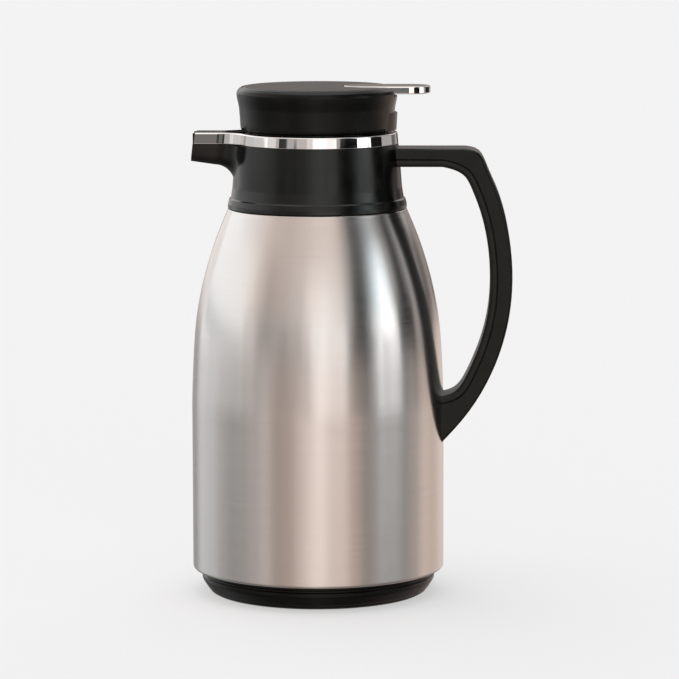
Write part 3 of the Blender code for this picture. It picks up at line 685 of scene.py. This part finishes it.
def band_outline(z, inset, thickness=0.0):
    """Half plan of the bright band, from the spout's tip round to the handle side."""
    half = SPOUT_HALF - inset - thickness
    taper = (z - BAND_BOTTOM_Z) / (BAND_TOP_Z - BAND_BOTTOM_Z) * BAND_TAPER
    radius = BAND_R - taper - inset - thickness
    fillet = SIDE_FLARE_R + inset + thickness
    centre_x = -math.sqrt((radius + fillet) ** 2 - (half + fillet) ** 2)
    turn = math.degrees(math.atan2(half + fillet, -centre_x))
    leg = [(tip_x(z) + BAND_TIP_GAP + min(inset, 0.4), half), (BAND_SUPPORT_X, half)]
    bend = arc((centre_x, half + fillet), fillet, -90, -turn, 20)
    around = arc((0, 0), radius, 180 - turn, 0, 96)
    return leg + bend + around[1:]


def build_band():
    """The bright band: half its plan is made and mirrored, with a fine bevel along the top edge."""
    top = BAND_TOP_Z
    bottom = BAND_BOTTOM_Z
    levels = [(bottom, 0.15), (bottom + 0.15, 0.0), (bottom + 0.3, 0.0), (top - 0.75, 0.0), (top - 0.6, 0.0),
              (top - 0.38, 0.05), (top - 0.18, 0.16), (top - 0.06, 0.34), (top, 0.6)]
    loops = [band_outline(z, inset) for z, inset in levels]
    loops += [band_outline(top, 0.0, BAND_THICK), band_outline(bottom, 0.0, BAND_THICK)]
    heights = [z for z, _ in levels] + [top, bottom]
    mesh_data = bmesh.new()
    rings = []
    for i in range(len(loops[0])):
        rings.append([(loop[i][0], loop[i][1], z) for loop, z in zip(loops, heights)])
    rings += [[(x, -y, z) for x, y, z in ring] for ring in rings[-2::-1]]
    skin(mesh_data, rings, cap_start=True, cap_end=True)
    piece("bright_band", mesh_data, LOOKS["chrome"], "jug", "chrome", "chrome_band", sharp_deg=60)


# Handle

def handle_lines(count=72):
    """The loop's outer and inner edge in the side view, from the arm down to the foot."""
    outer = [(84.0, 254.9), (90.8, 253.0), (96.1, 244.1), (102.0, 230.4), (107.8, 209.8), (110.5, 187.0),
             (109.3, 162.5), (104.6, 141.9), (96.1, 121.3), (82.6, 100.6), (69.6, 86.2)]
    inner = [(71.0, 244.4), (77.5, 242.7), (83.4, 239.2), (87.2, 232.7), (92.4, 219.0), (96.4, 201.0),
             (97.9, 182.0), (96.9, 164.0), (93.1, 147.0), (84.7, 126.3), (77.3, 116.4), (69.6, 114.0)]
    return spline(outer, count), spline(inner, count)


def cross_section(near, far, half, near_edge, far_edge, tongue=0.0):
    """A rounded bar section between two points of the side view, near outside and far inside.

    With a tongue, its near end is narrower for that length and fits inside the part beside it.
    """
    near, far = Vector(near), Vector(far)
    length = (far - near).length
    along = (far - near) / length
    right = [(tongue, -half, near_edge), (length, -half, far_edge)]
    if tongue:
        right = [(0, -half + TONGUE_INSET), (tongue, -half + TONGUE_INSET), *right]
    left = [(u, -v, *edge) for u, v, *edge in right[::-1]]
    outline = rounded(right + left, steps=6)
    return [(near.x + along.x * u, v, near.y + along.y * u) for u, v in outline]


def build_handle():
    """The handle's frame, and the liner that follows its inner edge behind a thin groove."""
    outer, inner = handle_lines()
    outer = [(x, ARM_TOP_Z) for x in np.linspace(ARM_START_X, 80.0, 6)] + outer
    inner = [(x, ARM_BOTTOM_Z) for x in np.linspace(ARM_START_X, 68.0, 6)] + inner
    middle = beside(inner, LINER_THICK)
    frame_rings = [cross_section(a, b, HANDLE_HALF, 2.2, 0.5) for a, b in zip(outer, middle)]
    shown = skin(bmesh.new(), frame_rings, cap_start=True, cap_end=True)
    body = piece("handle_grip_frame", shown, LOOKS["handle_plastic"], "jug", "black_plastic", "handle_frame",
                 sharp_deg=60)
    recess = rod_into(bmesh.new(), (81.0, 0, 104.0), "X", [(0, 3.8), (30, 3.8)])
    cut_with(body, guide("screw_recess_cutter", recess))
    liner_rings = [cross_section(a, b, HANDLE_HALF - LINER_INSET, 0.4, 2.0, TONGUE)
                   for a, b in zip(beside(inner, LINER_THICK - GROOVE + TONGUE), inner)]
    strip = skin(bmesh.new(), liner_rings, cap_start=True, cap_end=True)
    piece("handle_grip_liner", strip, LOOKS["soft_black"], "jug", "soft_black", "handle_liner", sharp_deg=60)


# Lid and lever

def stadium(half, start_x, end_x, steps=32):
    """A long outline with round ends, as (x, y)."""
    near = arc((end_x - half, 0), half, -90, 90, steps)
    return near + arc((start_x + half, 0), half, 90, 270, steps)


def lid_tab():
    """The low pad on the lid's side, below the lever, that fades out both ways."""
    rings = []
    for a in np.radians(np.linspace(-TAB_SPREAD, TAB_SPREAD, 25)):
        fade = min((TAB_SPREAD - math.degrees(abs(a))) / TAB_FADE, 1.0)
        out = TAB_OUT * fade * fade * (3 - 2 * fade)
        corners = rounded([(42.5, 264.8), (43.2 + out, 264.8, .4), (43.75 + out, 274.7, .4), (42.5, 274.7)])
        rings.append([(r * math.cos(a), r * math.sin(a), z) for r, z in corners])
    return skin(bmesh.new(), rings, cap_start=True, cap_end=True)


def build_lid():
    """The lid's side with a notch for the lever, its tab, and its top with the lever's slot."""
    black = LOOKS["handle_plastic"]
    side = rounded([
        (41.1, 264.5), (42.5, 264.5, .9), (43.35, 266.4, 1.5), (43.5, 268.7, 8), (43.7, 272.0, 10),
        (44.0, 275.5, 12), (44.2, 277.8, 12), (44.7, 280.2, 10), (45.2, 282.6, 8), (45.5, 284.6, 4),
        (45.6, 285.8, 1.2), (44.9, 287.4, 2.4), (43.2, 288.9, 1.6), (42.5, 289.15, .1), (42.5, 286.9),
        (39.8, 286.9), (39.8, 285.2), (43.0, 283.6), (42.2, 277.0), (41.6, 272.0), (41.3, 268.4),
        (39.0, 268.4), (39.0, 266.9), (41.1, 266.9),
    ])
    shell = turned("lid_side", side, black, "stopper", "black_plastic", "lid_shell", around=FINE_AROUND)
    slot_half = LEVER_HALF + LEVER_PLAY
    notch = block_into(bmesh.new(), (34.0, -slot_half, 283.8), (50.0, slot_half, 295.0))
    cut_with(shell, guide("lever_notch_cutter", notch))
    piece("lid_tab", lid_tab(), black, "stopper", "black_plastic", "lid_shell")

    top = rounded([(0, LID_TOP_Z), (30, LID_TOP_Z - .03, 40), (41.6, LID_TOP_Z - .25, .5), (42.3, 288.7, .3),
                   (42.3, 287.2), (0, 287.2)], closed=False)
    cover = turned("lid_cover", top, LOOKS["lid_plastic"], "stopper", "lid_plastic", "lid_top_cover",
                   around=FINE_AROUND)
    slot = prism_into(bmesh.new(), stadium(slot_half, LEVER_START_X - LEVER_PLAY, 75.0), 280, 295)
    cut_with(cover, guide("lever_slot_cutter", slot))


def build_lever():
    """The chrome thumb plate, its edges rounded, with the hub and fork below it that lift the stem."""
    top, bottom = LEVER_TOP_Z, LEVER_TOP_Z - LEVER_THICK
    levels = [(bottom, .6), (bottom + .06, .3), (bottom + .22, .08), (bottom + .45, 0), (bottom + .6, 0),
              (top - .65, 0), (top - .5, 0), (top - .3, .04), (top - .14, .14), (top - .05, .3), (top, .7)]
    rings = []
    for z, inset in levels:
        shape = stadium(LEVER_HALF - inset, LEVER_START_X + inset, LEVER_END_X - inset)
        rings.append([(x, y, z) for x, y in shape])
    plate = skin(bmesh.new(), rings, cap_start=True, cap_end=True)
    look = LOOKS["chrome"]
    piece("lever_plate", plate, look, "lever", "chrome", "lever", sharp_deg=30)
    under = bmesh.new()
    hub_half, fork_bottom, fork_top = 9.8, 272.7, 275.5
    hub = [(0, 2.2), (.5, 2.7), (2 * hub_half - .5, 2.7), (2 * hub_half, 2.2)]
    rod_into(under, (PIVOT.x, -hub_half, PIVOT.z), "Y", hub)
    block_into(under, (PIVOT.x - 1.6, -hub_half, PIVOT.z), (PIVOT.x + 1.6, hub_half, bottom + .5))
    block_into(under, (15.8, -6, fork_bottom), (19.4, 6, bottom + .5))
    for y in (-7.0, 3.2):
        block_into(under, (-2.2, y, fork_bottom), (19.0, y + 3.8, fork_top))
    block_into(under, (5.2, -3.2, fork_bottom), (19.0, 3.2, fork_top))
    piece("lever_fork", under, look, "lever", "chrome", "lever")


# Stopper and valve

def window_cutter(turn):
    """A rounded block through the stopper's wall, turned about Z."""
    outline = rounded([(-8, 248.5, 1.2), (8, 248.5, 1.2), (8, 259.0, 1.2), (-8, 259.0, 1.2)], steps=4)
    out = Vector((math.cos(turn), math.sin(turn)))
    along = Vector((-out.y, out.x))
    rings = []
    for radius in (28.0, 45.0):
        flat = [(out * radius + along * u, z) for u, z in outline]
        rings.append([(place.x, place.y, z) for place, z in flat])
    return skin(bmesh.new(), rings, cap_start=True, cap_end=True)


def build_stopper():
    """The stopper's two halves with four pouring windows and the thread's ridges, its seals and valve."""
    black = LOOKS["black_plastic"]
    cup = rounded([
        (36.0, 222.0, .6), (37.0, 223.0, .4), (37.0, 243.2, .3), (35.0, 243.2), (35.0, 246.4),
        (33.2, 246.4), (33.2, 226.5, 1), (31.2, 224.4, 1), (11.3, 224.4), (11.3, 227.3, .2),
        (10.9, 227.6, .2), (9.7, 227.6, .2), (9.3, 227.3, .2), (9.3, 222.0, .3),
    ])
    turned_part("stopper_lower_cup", cup, "black_plastic", "stopper", "stopper_cup")
    upper = rounded([
        (38.6, 246.4, .3), (38.6, 260.9, .2), (37.0, 260.9), (37.0, 263.0), (38.6, 263.0, .2), (38.6, 264.3),
        (40.8, 264.3, .2), (40.8, 266.5, .3), (6.3, 266.5, .2), (6.3, 256.7), (3.6, 256.7), (3.6, 255.5, .3),
        (9.0, 255.5, .5), (9.0, 262.0, .5), (33.2, 262.0, .5), (33.2, 246.4, .3),
    ])
    body = turned("stopper_upper_body", upper, black, "stopper", "black_plastic", "stopper_body")
    for quarter in range(4):
        cut_with(body, guide("pour_window_cutter", window_cutter(math.pi / 2 * quarter)))
    ridges = thread_into(bmesh.new(), 37.8, 40.1, 255.2)
    piece("stopper_thread_ridges", ridges, black, "stopper", "black_plastic", "stopper_body")

    main_seal = [(35.3, 243.6, .3), (38.4, 243.6, .5), (38.7, 244.4, .4), (38.4, 246.1, .5),
                 (35.3, 246.1, .3)]
    upper_seal = [(37.3, 261.3, .2), (39.8, 261.3, .4), (40.2, 262.0, .4), (39.8, 262.7, .4),
                  (37.3, 262.7, .2)]
    plate = [(2.7, 230.4), (12.7, 230.4, .3), (13.0, 231.4, .5), (11.5, 233.0, .8), (2.7, 233.0)]
    washer = [(2.7, 227.9), (11.6, 227.9, .4), (12.4, 228.5, .4), (12.4, 230.1, .3), (2.7, 230.1)]
    turned_part("main_seal_ring", rounded(main_seal), "silicone", "seal_carrier", "stopper_seal")
    turned_part("upper_seal_ring", rounded(upper_seal), "silicone", "stopper", "upper_seal")
    turned_part("valve_plate", rounded(plate), "white_plastic", "valve", "valve_disc", around=SMALL_AROUND)
    turned_part("valve_washer", rounded(washer), "silicone", "valve", "valve_seal", around=SMALL_AROUND)


# Stage: floor, studio and camera

FLOOR_REACH = 60000.0
FLOOR_GLOW = 0.525          # the floor gives off part of its light, so that shadows on it stay pale
WALL_R = 14000.0
WALL_HEIGHT = 9000.0


def build_floor():
    """A wide pale floor that fills the view. Polished parts see the studio rather than the floor."""
    floor_mesh = block_into(bmesh.new(), (-FLOOR_REACH, -FLOOR_REACH, -2), (FLOOR_REACH, FLOOR_REACH, 0))
    look = new_look("studio_floor", Roughness=1.0, Specular_IOR_Level=0.0, Emission_Strength=FLOOR_GLOW)
    mottle = between(look, noise(look, 3, 2), 0.0, 1.0)
    tone = mixed(look, mottle, (0.346, 0.352, 0.360), (0.347, 0.353, 0.361))
    set_up(look, tone)
    floor = piece("studio_floor", floor_mesh, look, None, None, weighted=False)
    floor.visible_glossy = False


def build_backdrop():
    """A pale wall a long way off, seen by the camera only: it hides the studio's panels from low views."""
    plan = arc((0, 0), WALL_R, 0, 360, 64)[:-1]
    wall = skin(bmesh.new(), [[(x, y, z) for x, y in plan] for z in (-WALL_HEIGHT, WALL_HEIGHT)])
    look = new_look("pale_wall", Base_Color=(0, 0, 0, 1), Specular_IOR_Level=0.0, Emission_Strength=1.0)
    mottle = between(look, noise(look, 0.05, 2), 0.0, 1.0)
    grey = mixed(look, mottle, (0.895, 0.895, 0.895), (0.905, 0.905, 0.905))
    look.node_tree.links.new(grey, look.node_tree.nodes["Principled BSDF"].inputs["Emission Color"])
    made = piece("pale_wall", wall, look, None, None, weighted=False)
    made.visible_diffuse = False
    made.visible_glossy = False
    made.visible_transmission = False
    made.visible_shadow = False


def soft_step(look, value, edge, width):
    """0 below an edge and 1 above it, with a soft change as wide as width."""
    inputs = {"Value": value, "From Min": edge - width / 2, "From Max": edge + width / 2}
    return add(look, "ShaderNodeMapRange", inputs, interpolation_type="SMOOTHSTEP").outputs["Result"]


def maths(look, operation, *values):
    """One sum with nodes' outputs or numbers."""
    return add(look, "ShaderNodeMath", dict(enumerate(values)), operation=operation).outputs[0]


# The studio's light, as rings of colour round the object. Each stop is (azimuth, brightness, warmth). Azimuth
# is in degrees: 0 is towards the camera, and + to its right.
# Soft light from the floor outwards, seen below the horizon
LOW_RING = [
    (-180, 0.5, 0.3), (-152, 0.36, 0.1), (-132, 0.74, 0), (-112, 0.68, 0), (-96, 0.44, 0.2),
    (-84, 0.33, 0.2), (-72, 0.38, 0.3), (-60, 0.52, 0.4), (-48, 0.7, 0.5), (-36, 0.46, 0.9),
    (-24, 0.54, 1), (-14, 0.84, 0.8), (-5, 1.18, 0.7), (3, 1.12, 0.7), (14, 0.82, 0.8), (26, 0.8, 0.9),
    (36, 0.64, 0.9), (48, 0.42, 0.5), (58, 0.42, 0.3), (68, 0.36, 0.2), (84, 0.34, 0.2),
    (100, 0.52, 0.5), (116, 0.76, 0.8), (132, 0.66, 0.8), (152, 0.74, 0.7), (180, 0.6, 0.5),
]
# The horizon, with the hard edges that the lever's end shows
LEVEL_RING = [
    (-180, 0.6, 0.3), (-162, 0.54, 0.1), (-141, 1.25, 0), (-120, 1.05, 0), (-100, 0.8, 0.1),
    (-84, 0.6, 0.2), (-72, 0.58, 0.2), (-58, 0.62, 0.4), (-44, 0.44, 0.9), (-31, 0.52, 0.9),
    (-20, 0.96, 0.7), (-8, 1.5, 0.5), (4, 1.45, 0.4), (13, 1.2, 0.5), (20, 1.3, 0.4), (27, 0.26, 0.3),
    (42, 0.2, 0.2), (50, 0.5, 0.1), (58, 2, 0), (79, 1.2, 0), (86, 0.4, 0.2), (100, 0.05, 0.4),
    (140, 0.5, 0.6), (158, 0.06, 0.6),
]
# Panels and black flags at the height of the object's top, with hard edges
NEAR_RING = [
    (-180, 0.24, 0.6), (-165, 0.95, 0.2), (-136, 1.25, 0), (-74, 0.8, 0.2), (-60, 0.48, 0.2),
    (-41, 0.46, 0.2), (-27, 0.54, 0.3), (-14, 0.78, 0.3), (-5, 1.3, 0.1), (15, 1.15, 0.2), (24, 1.2, 0),
    (29, 0.4, 0.2), (34, 0.12, 0), (41, 0.08, 0), (48, 0.45, 0), (54, 1.7, 0), (66, 2.3, 0.1),
    (79, 1.5, 0), (84, 0.01, 0), (106, 0.42, 0.2), (134, 0.14, 0.2), (148, 0.3, 0.6),
]
# A big wall of light to the left, a window beside the camera and a bright strip to the right
HIGH_RING = [
    (-180, 0.45, 0.2), (-165, 1.1, 0.1), (-150, 1.5, 0), (-130, 1.25, 0), (-84, 1.2, 0.1),
    (-72, 1.08, 0.3), (-60, 0.72, 0.5), (-48, 0.46, 0.6), (-36, 0.56, 0.6), (-16, 0.72, 0.4),
    (-4, 1.1, 0.4), (8, 1.22, 0.3), (18, 1.06, 0.3), (26, 0.9, 0.3), (33, 0.52, 0.2), (41, 0.05, 0),
    (50, 0.1, -0.2), (57, 0.5, -0.4), (64, 1.3, -0.4), (71, 1.9, -0.3), (77, 1.5, -0.3),
    (85, 0.45, 0.1), (97, 0.01, 0.1), (112, 0.5, 0.1), (130, 0.04, 0.2), (150, 0.95, 0.2),
    (168, 0.9, 0.2), (180, 0.45, 0.2),
]
# The same, higher up and softer
UPPER_RING = [
    (-180, 0.75, 0.1), (-165, 1.5, 0), (-150, 1.7, 0), (-130, 1.06, 0.1), (-110, 0.92, 0.3),
    (-90, 0.86, 0.4), (-72, 0.8, 0.5), (-54, 0.66, 0.7), (-36, 0.62, 0.7), (-16, 0.69, 0.6),
    (4, 0.79, 0.6), (16, 0.8, 0.6), (26, 0.74, 0.6), (36, 0.46, 0.5), (46, 0.12, 0.3), (54, 0.1, 0.1),
    (64, 0.28, -0.1), (74, 0.4, 0.1), (86, 0.22, 0.3), (98, 0.05, 0.1), (112, 0.36, 0), (130, 0.7, 0.1),
    (150, 1.1, 0.1), (165, 1.1, 0.1), (180, 0.75, 0.1),
]
# From the lowest ring up: how stops blend into each other, and the height (degrees) and softness of its start
RINGS = [
    (LEVEL_RING, "CONSTANT", -4.7, 0.6),
    (NEAR_RING, "CONSTANT", -2.5, 2.0),
    (HIGH_RING, "EASE", 9.5, 3.0),
    (UPPER_RING, "EASE", 25.0, 12.0),
]
TOP_LIGHT = 2.0
TOP_EDGE = (62.0, 24.0)     # height and softness of the light overhead
# Below the horizon the light fades to this share, round this height and with this softness
DEEP_SHARE = 0.42
DEEP_EDGE = (-16.0, 16.0)
CARD_SOFTNESS = (0.5, 0.05)  # of a card's sides, and of its top and bottom
# Small cards that only the bright parts show: (left, split, right) azimuths, (bottom, top) heights, and the
# (brightness, warmth) on the left and on the right of the split
CARDS = [
    ((-9, -6, -1), (-6.6, -3.4), (0.18, 0.3), (0.18, 0.3)),
    ((-28, -14, -6), (-4.6, -2), (0.15, 0.2), (0.05, 0)),
    ((-36, -32, -28), (-3, -1.2), (0.04, 0), (0.04, 0)),
    ((-60, -55, -50), (-5.3, -4.7), (0.08, 0), (0.08, 0)),
    ((-122, -70, -62), (-5.6, -4.2), (0.8, 0), (0.4, 0.1)),
    ((34, 50, 61), (0.2, 4.8), (0.004, 0), (0.004, 0)),
    ((27, 40, 60), (-4.3, -3.7), (0.01, 0), (0.01, 0)),
    ((100, 120, 140), (-4.3, -3.7), (0.02, 0), (0.02, 0)),
    ((-2.4, -0.5, 1.5), (-4.6, -3.3), (0.17, 0), (0.13, -0.1)),
    ((-134, -100, -74), (-1.8, 2.8), (0.62, 0), (0.66, 0.1)),
    ((64, 72, 81), (-2.4, 3), (0.4, 0), (0.9, 0)),
    ((-54, -43, -41), (2.8, 4.8), (0.04, 0), (0.16, 0)),
    ((-31, -29, -27), (2.8, 4.8), (0.1, 0), (0.1, 0)),
    ((-1, 1, 3), (2.8, 4.8), (0.45, 0.3), (0.45, 0.3)),
    ((11, 13, 15), (2.8, 4.8), (0.28, 0.3), (0.28, 0.3)),
]


def warmed(level, warmth):
    """A colour of this brightness: neutral at 0, warm at 1, cool below 0."""
    return (level * (1 + .24 * warmth), level * (1 - .04 * warmth), level * (1 - .18 * warmth))


def ring_colour(world, turn, ring, blend):
    """Colour of a ring at a turn, which goes from 0 to 1 as azimuth goes from -180 to 180."""
    ramp = add(world, "ShaderNodeValToRGB", {"Fac": turn})
    stops = ramp.color_ramp
    stops.interpolation = blend
    while len(stops.elements) < len(ring):
        stops.elements.new(0.5)
    for stop, (azimuth, level, warmth) in zip(stops.elements, ring):
        stop.position = (azimuth + 180) / 360
        stop.color = (*warmed(level, warmth), 1)
    return ramp.outputs["Color"]


def window(world, value, low, high, softness):
    """1 between two values and 0 outside them."""
    past_low, past_high = [soft_step(world, value, edge, softness) for edge in (low, high)]
    return maths(world, "SUBTRACT", past_low, past_high)


def card_colour(world, card, azimuth, height):
    """The card's colour, and where it is."""
    (left, split, right), (bottom, top), left_tone, right_tone = card
    side_softness, level_softness = CARD_SOFTNESS
    shade = mixed(world, soft_step(world, azimuth, split, 1.0), warmed(*left_tone), warmed(*right_tone))
    across = window(world, azimuth, left, right, side_softness)
    return shade, maths(world, "MULTIPLY", across, window(world, height, bottom, top, level_softness))


def build_studio():
    """The world: a low ring of light, the rings above it, the cards and the light overhead."""
    world = bpy.data.worlds.new("studio")
    bpy.context.scene.world = world
    world.use_nodes = True
    direction = add(world, "ShaderNodeTexCoord").outputs["Generated"]
    parts = add(world, "ShaderNodeSeparateXYZ", {0: direction}).outputs
    forward = maths(world, "MULTIPLY", parts["Y"], -1.0)
    azimuth = maths(world, "DEGREES", maths(world, "ARCTAN2", parts["X"], forward))
    height = maths(world, "DEGREES", maths(world, "ARCSINE", parts["Z"]))
    turn = maths(world, "DIVIDE", maths(world, "ADD", azimuth, 180.0), 360.0)

    above = soft_step(world, height, *DEEP_EDGE)
    fade = maths(world, "ADD", DEEP_SHARE, maths(world, "MULTIPLY", above, 1.0 - DEEP_SHARE))
    low = ring_colour(world, turn, LOW_RING, "EASE")
    colour = add(world, "ShaderNodeVectorMath", {0: low, "Scale": fade}, operation="SCALE").outputs[0]
    for ring, blend, start, softness in RINGS:
        share = soft_step(world, height, start, softness)
        colour = mixed(world, share, colour, ring_colour(world, turn, ring, blend))
    for card in CARDS:
        shade, share = card_colour(world, card, azimuth, height)
        colour = mixed(world, share, colour, shade)
    colour = mixed(world, soft_step(world, height, *TOP_EDGE), colour, warmed(TOP_LIGHT, 0))
    world.node_tree.links.new(colour, world.node_tree.nodes["Background"].inputs["Color"])


# Metres and degrees
CAMERA_AWAY = 2.182
CAMERA_HEIGHT = 0.4395
CAMERA_SIDE_DEG = 2.0
CAMERA_DOWN_DEG = 7.69
CAMERA_ROLL_DEG = -0.12
AIM_OUT = 0.0124            # the aim is this far from the object's axis, towards the handle
LENS_MM = 204.9


def build_camera():
    """A long lens a little above the object, aimed slightly to the handle's side of its axis."""
    side = math.radians(CAMERA_SIDE_DEG)
    place = Vector((CAMERA_AWAY * math.sin(side), -CAMERA_AWAY * math.cos(side), CAMERA_HEIGHT))
    drop = CAMERA_AWAY * math.tan(math.radians(CAMERA_DOWN_DEG))
    aim = Vector((AIM_OUT * math.cos(side), AIM_OUT * math.sin(side), CAMERA_HEIGHT - drop))
    data = bpy.data.cameras.new("camera")
    data.lens = LENS_MM
    data.sensor_width = 36.0
    data.clip_end = 200.0
    camera = bpy.data.objects.new("camera", data)
    bpy.context.scene.collection.objects.link(camera)
    camera.location = place
    level = (aim - place).to_track_quat("-Z", "Y")
    camera.rotation_euler = (level @ Quaternion((0, 0, 1), math.radians(CAMERA_ROLL_DEG))).to_euler()
    bpy.context.scene.camera = camera


build_vessel()
build_base()
build_collar()
build_band()
build_handle()
build_lid()
build_lever()
build_stopper()
build_floor()
build_backdrop()
build_studio()
build_camera()
bpy.context.scene.view_settings.view_transform = "Standard"
